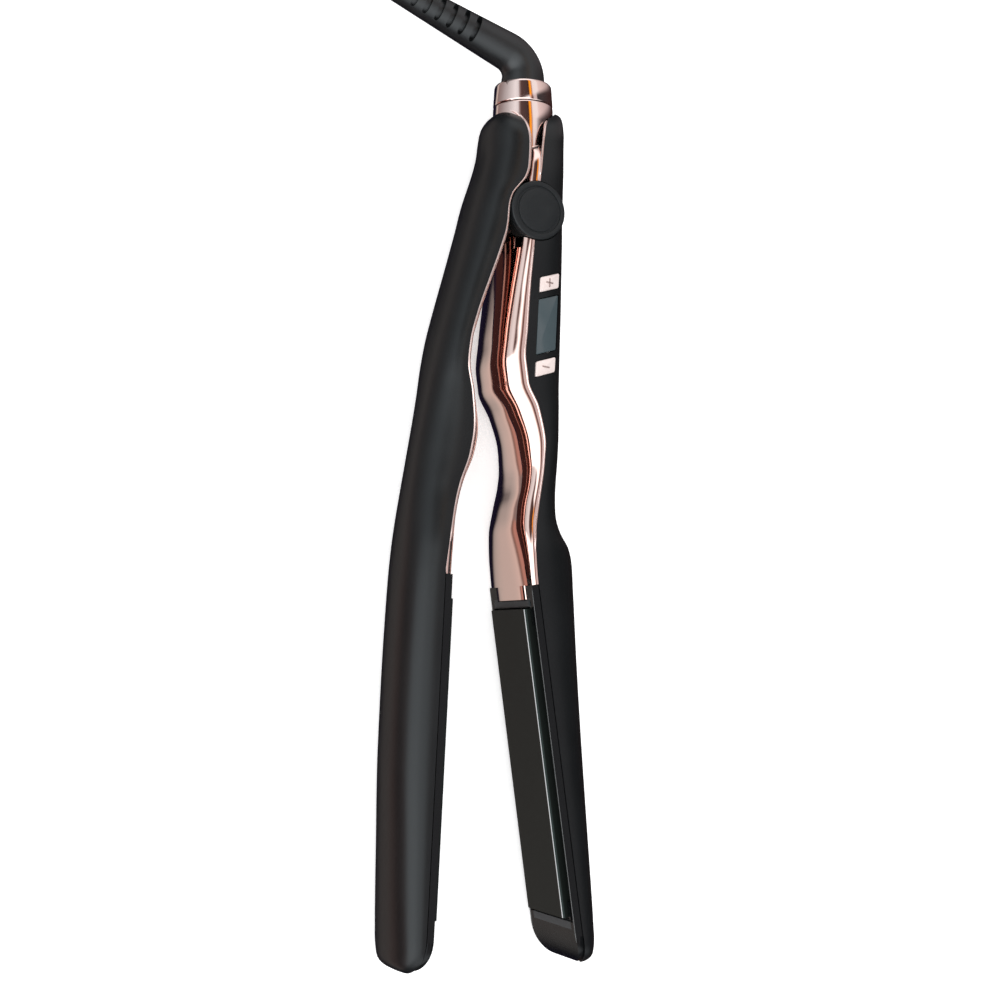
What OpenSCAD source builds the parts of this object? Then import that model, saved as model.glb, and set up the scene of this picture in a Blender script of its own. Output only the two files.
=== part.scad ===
// Flat iron (hair straightener) with its sprung arms open.
// +X runs from the hinge to the tips along the control arm's plate, +Y is the control arm's outer
// side, and +Z is the hinge axis, with the display side up. The origin is on the hinge axis, in the
// plane of the lower hinge cap's flat face, on which the iron lies.
// Each arm is drawn in an arm frame: x from the hinge to the tip, y outwards from the plane where
// the two plates meet, z across the arm from its middle plane.

/* [Plates] */
// Length of a heated plate
plate_length = 101.6; // [99:0.1:104]
// Width of a heated plate
plate_width = 25.4; // [24:0.1:25.6]
// How far a floating plate can be pushed in
plate_travel = 0.6; // [0.2:0.1:0.6]

/* [Arms] */
// Half of an arm's width at the plates
half_width = 16; // [16:0.1:16.4]
// Angle between the arms when the spring holds them open
open_angle = 11; // [1:0.5:11]
// Distance of the hinge axis from the plane where the plates meet
hinge_offset = 22.5; // [22.4:0.1:22.6]
// Wall of the outer shells
outer_wall = 1.8; // [1.6:0.1:1.9]
// Wall of the inner shells
inner_wall = 1.4; // [1.2:0.1:1.5]

/* [Hinge] */
// Radius of the hinge pin
pin_radius = 2.5; // [2.3:0.1:2.6]
// Radius of the round hinge caps
cap_radius = 10; // [9.8:0.1:10]
// Thickness of a hinge cap
cap_thickness = 5.2; // [4.8:0.1:5.2]
// Turns of the torsion spring
spring_turns = 3.5; // [2.5:1:3.5]

/* [Controls] */
// Length of the display window
window_length = 18.8; // [17:0.2:19.4]
// Width of the display window and the buttons
window_width = 8; // [7:0.5:8]
// Length of a button
button_length = 5.2; // [4.6:0.2:5.8]
// Travel of a button
button_travel = 0.4; // [0.2:0.1:0.4]
// Slant of the window's short edges from square
window_slant = 20; // [0:1:22]

/* [Cord end] */
// Lean of the collar's axis from the line of the plates
collar_lean = 8; // [7.5:0.1:8.5]
// Distance of the collar's axis from the hinge axis
collar_shift = 2.1; // [1.8:0.1:2.2]
// Radius of the collar where it meets the swivel ring
collar_radius = 10.3; // [10:0.1:10.4]
// Radius of the boot's base
boot_radius = 7.8; // [7.4:0.1:7.9]
// Bend of the boot
boot_bend = 70; // [50:5:75]
// Length of the boot beyond its bend
boot_reach = 54; // [48:1:56]
// Radius of the boot's cord bore
cord_radius = 3.4; // [3:0.1:3.5]

/* [Hidden] */

$fn = 48;
fit = 0.05;          // radial clearance of a running fit
slack = 0.3;         // gap between moving pieces that aren't a fit
parting = 0.1;       // half of the parting line between two shells
inf = 100;           // longer than anything that is cut

// Places along an arm
plate_x0 = 131.6;
plate_x1 = plate_x0 + plate_length;
tip_x = plate_x1 + 16.8;
tip_corner = 10;     // radius of an arm's corners at its tip
carrier_x = 124;     // the carrier starts and the inner shells end
tongue_x = 128.6;    // end of an inner shell's tongue
tongue_half = 10.6;
face_y = 1.7;        // level of the inner shells' faces beside the plates
strap_wall = 1.8;    // thickness of the tongue, and of the neck at the hinge
neck_x = 10.8;       // the plain arm's inner shell is a narrow neck up to here
neck_half = 6.8;
control_head_x = -37;
plain_head_x = -36.8;

// Side profiles as [x, y] in an arm frame, joined by smooth curves
control_seam = [[-37, 38.6], [-33, 34], [-29, 30.8], [-24, 28.9], [-17, 26.9], [0, 22.4],
    [23, 17], [39, 13.7], [50, 11.5], [57, 11.5], [66, 14.2], [76, 15.1], [84, 13.7], [96, 10.2], [107, 6.7],
    [116, 5.2], [124, 4.8], [plate_x1 + 4, 4.8], [tip_x - 5, 5.3], [tip_x, 7]];
control_crown = [[-37, 42.3], [-20, 38.6], [0, 35], [33, 30.3], [49, 27.7], [66, 24.6],
    [83, 21.5], [96, 19.1], [103, 18.5], [108, 19.5], [114, 22.3], [118, 22.8], [129, 21.9],
    [150, 19.8], [176, 17.5], [200, 15.6], [plate_x1 - 3, 13.2], [tip_x - 6, 11.9],
    [tip_x, 11.6]];
control_face = [[-26, 24], [-12, 19], [0, 16.4], [11, 13.7], [25, 9.6], [41, 5.1], [51, 3],
    [57, 3], [67, 6.3], [77, 8.1], [84, 7.9], [90, 6.6], [98, 3.6], [106, 1.8], [124, face_y]];
plain_seam = [[-37, -16], [-30, -18], [-23, -18.7], [-15, -18.3], [-11, -17.2],
    [-8, -15.2], [-4, -12.8], [0, -12], [4, -11.8], [16, -9], [26, -6], [37, -2.7],
    [47, -0.6], [54, -0.2], [64, -2.2], [75, -3.4], [84, -2.4], [94, 0.6], [104, 2.6],
    [116, 4.2], [124, 4.8], [plate_x1 + 4, 4.8], [tip_x - 5, 5.3], [tip_x, 7]];
plain_crown = [[-37, -8.8], [-24, -8.4], [-7, -4.7], [15, 0.2], [31, 3.9], [46, 7],
    [67, 9.9], [87, 12.5], [107, 14.5], [132, 15.7], [156, 16], [180, 15.8],
    [213, 14.3], [plate_x1, 13.2], [tip_x - 6, 12.4], [tip_x, 11.8]];
plain_face = [[-37, -15], [-12, -15], [0, -14.5], [11, -12.3], [25, -8.4], [41, -4],
    [51, -1.9], [57, -1.9], [67, -5], [77, -6.7], [84, -5.6], [92, -2.4], [100, -0.2],
    [108, 1.2], [124, face_y]];
// Half of an arm's width, before its ends are rounded
half_widths = [[-38, 13], [-24, 14.2], [-10, 15.2], [8, 15.2], [30, 14.4], [50, 14.2],
    [95, 14.2], [116, half_width], [tip_x, half_width]];
// How square the shells' sections are: 2 is an ellipse
control_squareness = [[-37, 3.5], [0, 4.2], [50, 4], [95, 3.2], [116, 3]];
plain_squareness = [[-38, 2.5], [116, 2.5]];
face_squareness = [[-38, 2.6], [60, 2.8], [95, 3.4], [112, 5.5], [124, 6]];
arch_steps = 12;

// Levels in an arm frame, outwards from the plane where the plates meet
plate_face = 0.06;
rim_y = 2.3;         // top of the carrier's rim
ledge_y = 3.6;       // ledge round the plate
ledge_wall = 1;
flange_y = ledge_y + ledge_wall + 0.15;
flange_wall = 1;
heater_y = plate_face + 2.7;
heater_wall = 1.9;
clamp_y = heater_y + heater_wall + 0.1;
clamp_wall = 0.8;
cushion_y = clamp_y + clamp_wall + 0.05;
floor_y = cushion_y + 2.59 + plate_travel;
floor_wall = 0.8;

// Heights on the hinge axis, from the arms' middle plane
lug_low = 3.2;       // the control bracket's two lugs, with the spring between them
lug_high = 7;
lug_radius = 4.3;
washer = 0.25;
ear_low = lug_high + washer + 0.05;
ear_high = ear_low + 2.9;
cap_low = half_width - cap_thickness;
pocket_radius = cap_radius + slack;

// Controls, on the handle's flat side
control_x = 38.4;    // middle of the window
control_y = 21.5;
control_turn = -11;  // the handle's own angle to the plates
control_tilt = 10.5;
control_z = 13.6;    // outer surface at the middle of the window
button_pitch = 14.4;
switch_z = -6.55;
stem_z = -3.4;

//--- curves and lofts

// Slope of a smooth curve at point i of p, flat at a peak or dip
function chord(p, i) = (p[i + 1][1] - p[i][1]) / (p[i + 1][0] - p[i][0]);
function slope(p, i) =
    i == 0 ? chord(p, 0) :
    i == len(p) - 1 ? chord(p, i - 1) :
    chord(p, i - 1) * chord(p, i) <= 0 ? 0 :
    2 * chord(p, i - 1) * chord(p, i) / (chord(p, i - 1) + chord(p, i));
function span(p, x) = max([0, for (i = [1:len(p) - 2]) if (p[i][0] <= x) i]);
function hermite(p, i, t, h) =
    p[i][1] * (1 + 2 * t) * pow(1 - t, 2) + slope(p, i) * h * t * pow(1 - t, 2) +
    p[i + 1][1] * pow(t, 2) * (3 - 2 * t) + slope(p, i + 1) * h * pow(t, 2) * (t - 1);
function curve(p, x) =
    x <= p[0][0] ? p[0][1] :
    x >= p[len(p) - 1][0] ? p[len(p) - 1][1] :
    let (i = span(p, x), h = p[i + 1][0] - p[i][0]) hermite(p, i, (x - p[i][0]) / h, h);

// Factor that rounds a section off at distance d from an end, over a length r
function rounding(d, r) = d >= r ? 1 : sqrt(max(0.1, 1 - pow((r - d) / r, 2)));

// Section of a shell: an arch from one side to the other, as [y, z]
function arch(half, base, rise, n) = [for (k = [0:arch_steps]) let (a = 180 * k / arch_steps)
    [base + rise * pow(abs(sin(a)), 2 / n), half * sign(cos(a)) * pow(abs(cos(a)), 2 / n)]];

// Sections along an arm, close together near both ends
end_steps = [0, 0.5, 1.5, 3, 5, 8];
function stations(x0, x1, step) =
    let (run = x1 - x0 - 2 * end_steps[5], n = round(run / step))
    concat([for (e = end_steps) x0 + e],
        [for (i = [1:n - 1]) x0 + end_steps[5] + run * i / n],
        [for (i = [5:-1:0]) x1 - end_steps[i]]);

// A shell between two lofted skins. Each ring is a list of [x, y, z] points, and the skins are
// joined along their two long edges and closed at both ends.
module shell_between(outer, inner) {
    rows = len(outer);
    cols = len(outer[0]);
    function o(i, j) = i * cols + j;
    function n(i, j) = (rows + i) * cols + j;
    polyhedron(
        points = [for (r = outer) each r, for (r = inner) each r],
        faces = concat(
            [for (i = [0:rows - 2], j = [0:cols - 2]) each
                [[o(i, j), o(i, j + 1), o(i + 1, j)], [o(i, j + 1), o(i + 1, j + 1), o(i + 1, j)]]],
            [for (i = [0:rows - 2], j = [0:cols - 2]) each
                [[n(i, j), n(i + 1, j), n(i, j + 1)], [n(i, j + 1), n(i + 1, j), n(i + 1, j + 1)]]],
            [for (i = [0:rows - 2]) each
                [[o(i, 0), o(i + 1, 0), n(i, 0)], [n(i, 0), o(i + 1, 0), n(i + 1, 0)],
                 [o(i, cols - 1), n(i, cols - 1), o(i + 1, cols - 1)],
                 [n(i, cols - 1), n(i + 1, cols - 1), o(i + 1, cols - 1)]]],
            [for (j = [1:cols - 2]) each
                [[o(0, 0), o(0, j + 1), o(0, j)],
                 [o(rows - 1, 0), o(rows - 1, j), o(rows - 1, j + 1)],
                 [n(0, 0), n(0, j), n(0, j + 1)],
                 [n(rows - 1, 0), n(rows - 1, j + 1), n(rows - 1, j)]]],
            [[o(0, 0), n(0, 0), o(0, cols - 1)], [n(0, 0), n(0, cols - 1), o(0, cols - 1)],
             [o(rows - 1, 0), o(rows - 1, cols - 1), n(rows - 1, 0)],
             [n(rows - 1, 0), o(rows - 1, cols - 1), n(rows - 1, cols - 1)]]));
}

// Where the inner skin's section lies for a section of the outer skin
function inset_x(x, x0, x1, wall) = x0 + wall + (x - x0) * (x1 - x0 - 2 * wall) / (x1 - x0);

module outer_shell(seam, crown, squareness, x0, head_round, tip_round) {
    function half(x) = rounding(x - x0, 12)
        * (curve(half_widths, x) - tip_corner * (1 - rounding(tip_x - x, tip_corner)));
    function base(x) = curve(seam, x) + parting;
    function rise(x) = (curve(crown, x) - base(x))
        * rounding(x - x0, head_round) * rounding(tip_x - x, tip_round);
    xs = stations(x0, tip_x, 5.2);
    shell_between(
        [for (x = xs) [for (p = arch(half(x), base(x), rise(x), curve(squareness, x)))
            [x, p[0], p[1]]]],
        [for (s = xs) let (x = inset_x(s, x0, tip_x, outer_wall))
            [for (p = arch(half(x) - outer_wall, base(x), rise(x) - outer_wall,
                curve(squareness, x))) [x, p[0], p[1]]]]);
}

// An inner shell ends in a flat tongue that runs into the plate carrier. Where neck is true it
// also narrows to a strap that passes between the hinge's ears.
module inner_shell(seam, face, x0, neck) {
    step = 0.02;
    main_x = neck ? neck_x : x0;
    function base(x) = curve(seam, x) - parting;
    function rise(x) = curve(face, x) - base(x);
    function half(x) = curve(half_widths, x) * (neck ? 1 : rounding(x - x0, 12));
    function skin(x, wall) = [for (p = arch(half(x) - wall, base(x), rise(x) + wall,
        curve(face_squareness, x))) [x, p[0], p[1]]];
    function strap(x, half, wall) = [for (p = arch(half - wall, curve(face, x) + strap_wall,
        wall - strap_wall, 6)) [x, p[0], p[1]]];
    xs = stations(main_x, carrier_x, 5);
    neck_xs = neck ? [for (u = [0:0.25:1]) x0 + (main_x - step - x0) * u] : [];
    shell_between(
        concat([for (x = neck_xs) strap(inset_x(x, x0, main_x + 2 * inner_wall, inner_wall),
                neck_half, inner_wall)],
            [for (s = xs) skin(inset_x(s, main_x, carrier_x, inner_wall), inner_wall)],
            [strap(carrier_x - inner_wall + step, tongue_half, inner_wall),
             strap(tongue_x - 1, tongue_half, inner_wall)]),
        concat([for (x = neck_xs) strap(x, neck_half, 0)],
            [for (x = xs) skin(x, 0)],
            [strap(carrier_x + step, tongue_half, 0), strap(tongue_x, tongue_half, 0)]));
}

//--- frames

module place_control() translate([0, -hinge_offset, half_width]) children();
module place_plain() rotate([0, 0, -open_angle]) translate([0, -hinge_offset, half_width])
    mirror([0, 1, 0]) children();
// x and y stay, z runs up the hinge axis from the arms' middle plane
module on_hinge() translate([0, 0, half_width]) children();
// z runs up the collar's axis from the hinge axis, y towards the control arm's outer side
module on_collar() on_hinge() translate([0, collar_shift, 0]) rotate([0, 0, -collar_lean])
    rotate([0, -90, 0]) children();
module both_sides() for (s = [0, 1]) mirror([0, 0, s]) children();
// Lies on the control arm's flat side, z outwards, x along the handle
module on_controls() translate([control_x, control_y - hinge_offset, half_width + control_z])
    rotate([0, 0, control_turn]) rotate([-control_tilt, 0, 0]) children();

//--- shapes used more than once

module ring(outer, inner, height) difference() {
    cylinder(r = outer, h = height);
    translate([0, 0, -1]) cylinder(r = inner, h = height + 2);
}

module box(x0, x1, y0, y1, half) translate([x0, y0, -half]) cube([x1 - x0, y1 - y0, 2 * half]);

// Parallelogram with the window's slant
module slanted(length, width, height) linear_extrude(height)
    let (shift = width / 2 * tan(window_slant))
    polygon([[-length / 2 + shift, -width / 2], [length / 2 + shift, -width / 2],
        [length / 2 - shift, width / 2], [-length / 2 - shift, width / 2]]);

// A wire of radius r along a few points that don't turn back on themselves
wire_sides = 8;
lead_radius = 0.7;
module wire(path, r) {
    last = len(path) - 1;
    function unit(v) = v / norm(v);
    function ahead(i) = unit(path[min(i + 1, last)] - path[max(i - 1, 0)]);
    function across(i) = unit(cross(ahead(i), [0, 0, 1]));
    polyhedron(
        points = [for (i = [0:last], k = [0:wire_sides - 1]) let (a = 360 * k / wire_sides)
            path[i] + r * (cos(a) * across(i) + sin(a) * cross(across(i), ahead(i)))],
        faces = concat(
            [for (i = [0:last - 1], k = [0:wire_sides - 1])
                let (m = (k + 1) % wire_sides, p = i * wire_sides, q = p + wire_sides)
                each [[p + k, q + k, p + m], [p + m, q + k, q + m]]],
            [[for (k = [0:wire_sides - 1]) k]],
            [[for (k = [wire_sides - 1:-1:0]) last * wire_sides + k]]));
}

// Space that the collar takes up as seen from an arm that turns by the angles in turns
module collar_envelope(turns) for (a = turns) translate([0, 0, -half_width]) rotate([0, 0, a])
    on_collar() translate([0, 0, collar_low - 1]) cylinder(r = collar_radius + 0.8, h = 60);

module hinge_pockets() both_sides() translate([0, 0, lug_high + 0.15])
    cylinder(r = pocket_radius, h = half_width);

module screws(places) for (p = places) translate([p[0], p[1], 0]) rotate([90, 0, 0]) {
    cylinder(r = 1.1, h = p[2]);
    cylinder(r = 2, h = 1.2);
}

//--- plate parts, the same in both arms

module plate_carrier() {
    start_x = carrier_x + 0.05;
    nose_x = plate_x1 + 4.6;
    end_x = tip_x - 0.6;
    difference() {
        intersection() {
            // side outline: the rim, the curved nose, and the shell's seam underneath
            linear_extrude(2 * half_width, center = true) polygon(concat(
                [[start_x, rim_y], [start_x, ledge_y + ledge_wall]],
                [for (u = [0:0.125:1]) let (x = plate_x1 + 4 + (end_x - plate_x1 - 4) * u)
                    [x, curve(control_seam, x) - parting - 0.1]],
                [for (a = [90:-6:0]) [nose_x + (end_x - nose_x) * sin(a),
                    rim_y + 4 * (1 - cos(a))]]));
            // outline from above with rounded corners
            rotate([-90, 0, 0]) linear_extrude(20) union() {
                translate([start_x, -half_width + 0.1])
                    square([end_x - tip_corner - start_x, 2 * half_width - 0.2]);
                translate([start_x, -half_width + tip_corner])
                    square([end_x - start_x, 2 * (half_width - tip_corner)]);
                for (s = [-1, 1])
                    translate([end_x - tip_corner, s * (half_width - tip_corner - 0.1)])
                        circle(r = tip_corner);
            }
        }
        // trough round the plate, and the window that it sits in
        box(plate_x0 - 0.4, plate_x1 + 1.6, -1, ledge_y, 14.9);
        box(plate_x0 - 0.3, plate_x1 + 0.3, -1, inf, plate_width / 2 + 0.15);
        // slot for the inner shell's tongue
        box(carrier_x - 1, tongue_x + 0.2, -1, face_y + strap_wall + 0.2, tongue_half + 0.2);
    }
    // end walls and floor that the cushions stand on
    box(plate_x0 - 5.4, plate_x0 - 2.4, ledge_y + 0.6, floor_y + floor_wall, 8);
    box(plate_x0 - 5.4, plate_x1 + 2, floor_y, floor_y + floor_wall, 6);
    box(plate_x1 + 1.6, plate_x1 + 4, ledge_y + 0.6, floor_y + floor_wall, 6);
    // bar before the plate and small ribs beside its ends
    box(tongue_x + 0.4, plate_x0 - 0.8, 1.8, rim_y + 0.4, plate_width / 2);
    for (s = [-1, 1], x = [plate_x0 - 0.4, plate_x1 - 5.2])
        translate([x, 1.9, s * 13.9 - 0.4]) cube([6, 2, 0.8]);
}

module plate() {
    edge = plate_width / 2;
    bevel = 0.7;
    rail = 2;
    translate([plate_x0, 0, 0]) rotate([90, 0, 90]) linear_extrude(plate_length) polygon([
        [plate_face, -edge + bevel], [plate_face + bevel, -edge],
        [flange_y + flange_wall, -edge], [flange_y + flange_wall, -edge + rail],
        [heater_y, -edge + rail], [heater_y, edge - rail],
        [flange_y + flange_wall, edge - rail], [flange_y + flange_wall, edge],
        [plate_face + bevel, edge], [plate_face, edge - bevel]]);
    for (s = [-1, 1], x = [plate_x0 + 9, plate_x0 + 66])
        translate([x, flange_y, s * edge - 0.5]) cube([9, flange_wall, 1]);
}

module heater() box(plate_x0 + 14, plate_x1 - 14, heater_y + 0.05, heater_y + heater_wall, 6.5);

module heater_clamp() difference() {
    box(plate_x0 + 6, plate_x1 - 6, clamp_y, clamp_y + clamp_wall, plate_width / 2 - 2.2);
    for (x = [plate_x0 + 30, plate_x1 - 30]) translate([x, 0, 0]) rotate([-90, 0, 0])
        cylinder(r = 2.5, h = inf);
}

module plate_cushions() for (x = [plate_x0 + 18, plate_x1 - 18]) translate([x, cushion_y, 0])
    rotate([-90, 0, 0]) ring(4, 1.6, floor_y - cushion_y - 0.05);

module sensor_bead() translate([(plate_x0 + plate_x1) / 2, heater_y + 1.1, 8.6])
    rotate([0, 90, 0]) cylinder(r = 0.85, h = 7, center = true);

//--- control arm

module control_outer_shell() color([0.09, 0.1, 0.105]) difference() {
    place_control() outer_shell(control_seam, control_crown, control_squareness,
        control_head_x, 3.5, 3);
    on_hinge() hinge_pockets();
    difference() {
        on_hinge() collar_envelope([0]);
        on_collar() beyond_flat(collar_flat + 0.2, flat_top + 0.2);
    }
    on_controls() translate([0, 0, -4]) {
        slanted(window_length + 0.4, window_width + 0.4, inf);
        for (s = [-1, 1]) translate([s * button_pitch, 0, 0])
            slanted(button_length + 0.4, window_width + 0.4, inf);
    }
}

module control_inner_shell() color([0.84, 0.66, 0.6]) difference() {
    place_control() inner_shell(control_seam, control_face, -28, false);
    on_hinge() hinge_pockets();
    on_hinge() collar_envelope([0]);
}

module control_plate_carrier() color([0.05, 0.05, 0.055]) place_control() plate_carrier();
module control_plate() color([0.17, 0.17, 0.17]) place_control() plate();
module control_heater() color([0.9, 0.9, 0.86]) place_control() heater();
module control_heater_clamp() color([0.7, 0.71, 0.72]) place_control() heater_clamp();
module control_plate_cushions() color([0.75, 0.3, 0.2]) place_control() plate_cushions();
module control_thermistor() color([0.2, 0.5, 0.3]) place_control() sensor_bead();

// Two lugs with a true bore, joined to a plate that is screwed into the shell
module control_hinge_bracket() color([0.3, 0.31, 0.32]) on_hinge() difference() {
    union() {
        both_sides() translate([0, 0, lug_low]) cylinder(r = lug_radius, h = lug_high - lug_low);
        both_sides() translate([-4, 0, lug_low]) cube([8, 9.2, lug_high - lug_low]);
        rotate([0, 0, -8]) translate([-6, 8.7, -7.6]) cube([21, 1.4, 15.2]);
    }
    cylinder(r = pin_radius + fit / 2, h = inf, center = true);
}

module control_shell_screws() color([0.55, 0.55, 0.56]) place_control()
    screws([[84, 17.5, 7], [22, 29, 6]]);

module control_leads() color([0.75, 0.72, 0.68]) on_hinge() {
    for (s = [-1, 1]) wire([[-22, 2.9 + 1.4 * s, 0.5 * s], [-8, 5.6, 1.3 * s], [4, 6.1, 1.5 * s],
        [12.6, 3.5 + 1.5 * s, 5.6]], lead_radius);
    for (s = [-1, 1]) wire([[66, -7.4, s * 4], [84, -8.8, s * 4], [108, -12.6, s * 4],
        [125, -14.6, s * 4]], lead_radius);
}

module circuit_board() color([0.1, 0.35, 0.2]) on_controls() translate([3, 0.2, switch_z - 0.65])
    cube([44, 9, 1.2], center = true);

module display_module() color([0.75, 0.78, 0.78]) on_controls() translate([0, 0, -4.5])
    cube([window_length - 1, window_width - 1, 3.9], center = true);

module display_window() color([0.28, 0.34, 0.35]) on_controls() translate([0, 0, -2.5])
    slanted(window_length, window_width, 2.4);

module button(s) on_controls() translate([s * button_pitch, 0, 0]) {
    translate([0, 0, -1.8]) slanted(button_length, window_width, 2);
    translate([0, 0, stem_z]) cylinder(r = 1.6, h = 1.7);
}
module upper_button() color([0.93, 0.85, 0.84]) button(-1);
module lower_button() color([0.93, 0.85, 0.84]) button(1);

module button_switches() color([0.2, 0.2, 0.21]) on_controls()
    for (s = [-1, 1]) translate([s * button_pitch, 0, switch_z]) {
        translate([-2.2, -2.2, 0]) cube([4.4, 4.4, 2]);
        cylinder(r = 1.2, h = stem_z - switch_z - button_travel - 0.05);
    }

//--- plain arm

module plain_outer_shell() color([0.09, 0.1, 0.105]) difference() {
    place_plain() outer_shell(plain_seam, plain_crown, plain_squareness, plain_head_x, 7, 3.5);
    on_hinge() collar_envelope([0, -open_angle]);
}

module plain_inner_shell() color([0.84, 0.66, 0.6])
    place_plain() inner_shell(plain_seam, plain_face, -10, true);

module plain_plate_carrier() color([0.05, 0.05, 0.055]) place_plain() plate_carrier();
module plain_plate() color([0.17, 0.17, 0.17]) place_plain() plate();
module plain_heater() color([0.9, 0.9, 0.86]) place_plain() heater();
module plain_heater_clamp() color([0.7, 0.71, 0.72]) place_plain() heater_clamp();
module plain_plate_cushions() color([0.75, 0.3, 0.2]) place_plain() plate_cushions();
module plain_thermal_fuse() color([0.8, 0.75, 0.55]) place_plain() sensor_bead();

// Two ears with running bores outside the control arm's lugs, and a bridge inside the arm
module plain_hinge_bracket() color([0.3, 0.31, 0.32]) rotate([0, 0, -open_angle]) on_hinge()
    difference() {
        union() {
            both_sides() translate([0, 0, ear_low]) {
                cylinder(r = 8.4, h = ear_high - ear_low);
                translate([-7, -12.4, 0]) cube([14, 12.4, ear_high - ear_low]);
            }
            translate([-7, -12.4, -ear_high]) cube([9, 2.1, 2 * ear_high]);
        }
        cylinder(r = pin_radius + fit, h = inf, center = true);
    }

module plain_shell_screws() color([0.55, 0.55, 0.56]) place_plain()
    screws([[84, 8.6, 6], [22, -2.6, 4]]);

module plain_leads() color([0.75, 0.72, 0.68]) rotate([0, 0, -open_angle]) on_hinge()
    for (s = [-1, 1]) wire([[15, -17.5, s * 4], [50, -25.1, s * 4], [84, -28.6, s * 4],
        [112, -30.4, s * 4], [125, -30.5, s * 4]], lead_radius);

//--- hinge

module hinge_pin() color([0.72, 0.73, 0.75]) on_hinge() difference() {
    union() {
        translate([0, 0, -ear_high - 1.4]) cylinder(r = pin_radius, h = 2 * ear_high + 3.4);
        translate([0, 0, -ear_high - 1.6]) cylinder(r = pin_radius + 1.6, h = 1.4);
    }
    translate([0, 0, ear_high + 0.3]) ring(pin_radius + 1, pin_radius - 0.5, 0.7);
}

module hinge_clip() color([0.6, 0.6, 0.62]) on_hinge() translate([0, 0, ear_high + 0.35])
    difference() {
        ring(pin_radius + 1.6, pin_radius - 0.45, 0.6);
        translate([0, -1.6, -1]) cube([inf, 3.2, 3]);
    }

module hinge_washers() color([0.88, 0.88, 0.84]) on_hinge() both_sides()
    translate([0, 0, lug_high + 0.02]) ring(lug_radius, pin_radius + 0.1, washer);

// Torsion spring: a coil between the lugs and one leg to each arm
spring_radius = 3.7;
spring_wire = 0.55;
spring_pitch = 1.35;
spring_sides = 6;
function coil_point(a) = [spring_radius * cos(a), spring_radius * sin(a),
    spring_pitch * (a / 360 - spring_turns / 2)];
module hinge_spring() color([0.5, 0.5, 0.52]) on_hinge() {
    step = 18;
    rings = spring_turns * 360 / step;
    polyhedron(
        points = [for (i = [0:rings], k = [0:spring_sides - 1])
            let (a = i * step, b = k * 360 / spring_sides,
                r = spring_radius + spring_wire * cos(b))
            [r * cos(a), r * sin(a), coil_point(a)[2] + spring_wire * sin(b)]],
        faces = concat(
            [for (i = [0:rings - 1], k = [0:spring_sides - 1])
                let (m = (k + 1) % spring_sides, p = i * spring_sides, q = p + spring_sides)
                each [[p + k, p + m, q + k], [p + m, q + m, q + k]]],
            [[for (k = [spring_sides - 1:-1:0]) k]],
            [[for (k = [0:spring_sides - 1]) rings * spring_sides + k]]));
}

module hinge_cap() translate([0, 0, cap_low]) difference() {
    cylinder(r = cap_radius, h = cap_thickness);
    // room for the pin's end
    translate([0, 0, -1]) cylinder(r = pin_radius + 2.2, h = 3.6);
    // ring groove in the outer face
    translate([0, 0, cap_thickness - 0.4]) ring(8.1, 7.4, 1);
}
module upper_hinge_cap() color([0.1, 0.11, 0.115]) on_hinge() hinge_cap();
module lower_hinge_cap() color([0.1, 0.11, 0.115]) on_hinge() mirror([0, 0, 1]) hinge_cap();

//--- cord end

collar_low = 19;
collar_top = 39.4;
ring_top = 47.2;
flange_z = 26;
collar_flat = 9.5;   // flat on the collar, where the control arm's shell passes close over it
flat_top = 33;

module beyond_flat(y, top) translate([-inf, y, -inf]) cube([2 * inf, inf, inf + top]);

module fixed_collar() color([0.86, 0.68, 0.62]) on_collar() difference() {
    rotate_extrude($fn = 96) polygon([
        [collar_radius + 0.4, collar_low], [collar_radius, collar_top - 0.3],
        [collar_radius - 0.3, collar_top], [4.9, collar_top], [4.9, flange_z + 2.8],
        [8.4, flange_z + 2.8], [8.4, collar_low]]);
    beyond_flat(collar_flat, flat_top);
}

module swivel_ring() color([0.86, 0.68, 0.62]) on_collar() rotate_extrude($fn = 96) polygon([
    [5.2, collar_top + 0.25], [collar_radius - 0.3, collar_top + 0.25],
    [collar_radius, collar_top + 0.55], [collar_radius - 0.4, ring_top - 0.6],
    [collar_radius - 1, ring_top], [boot_radius + 0.05, ring_top],
    [boot_radius + 0.05, collar_top + 2.6], [5.2, collar_top + 2.6]]);

module swivel_spindle() color([0.82, 0.82, 0.78]) on_collar() rotate_extrude() polygon([
    [3.6, flange_z - 2], [4.85, flange_z - 2], [4.85, flange_z], [6.8, flange_z],
    [6.8, flange_z + 2.1], [4.85, flange_z + 2.1], [4.85, collar_top + 6], [3.6, collar_top + 6]]);

module swivel_washer() color([0.88, 0.88, 0.84]) on_collar()
    translate([0, 0, flange_z + 2.15]) ring(6.6, 4.9, 0.6);

boot_low = collar_top + 2.7;
elbow_z = 56.8;
boot_root = 6.7;     // radius just past the bend
boot_tip = 4.3;      // radius at the cord's end
slot_count = 7;
slot_pitch = 4.6;
// z runs from the middle of the bend to the cord's end
module past_bend() on_collar() translate([0, 0, elbow_z]) rotate([boot_bend, 0, 0]) children();

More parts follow.
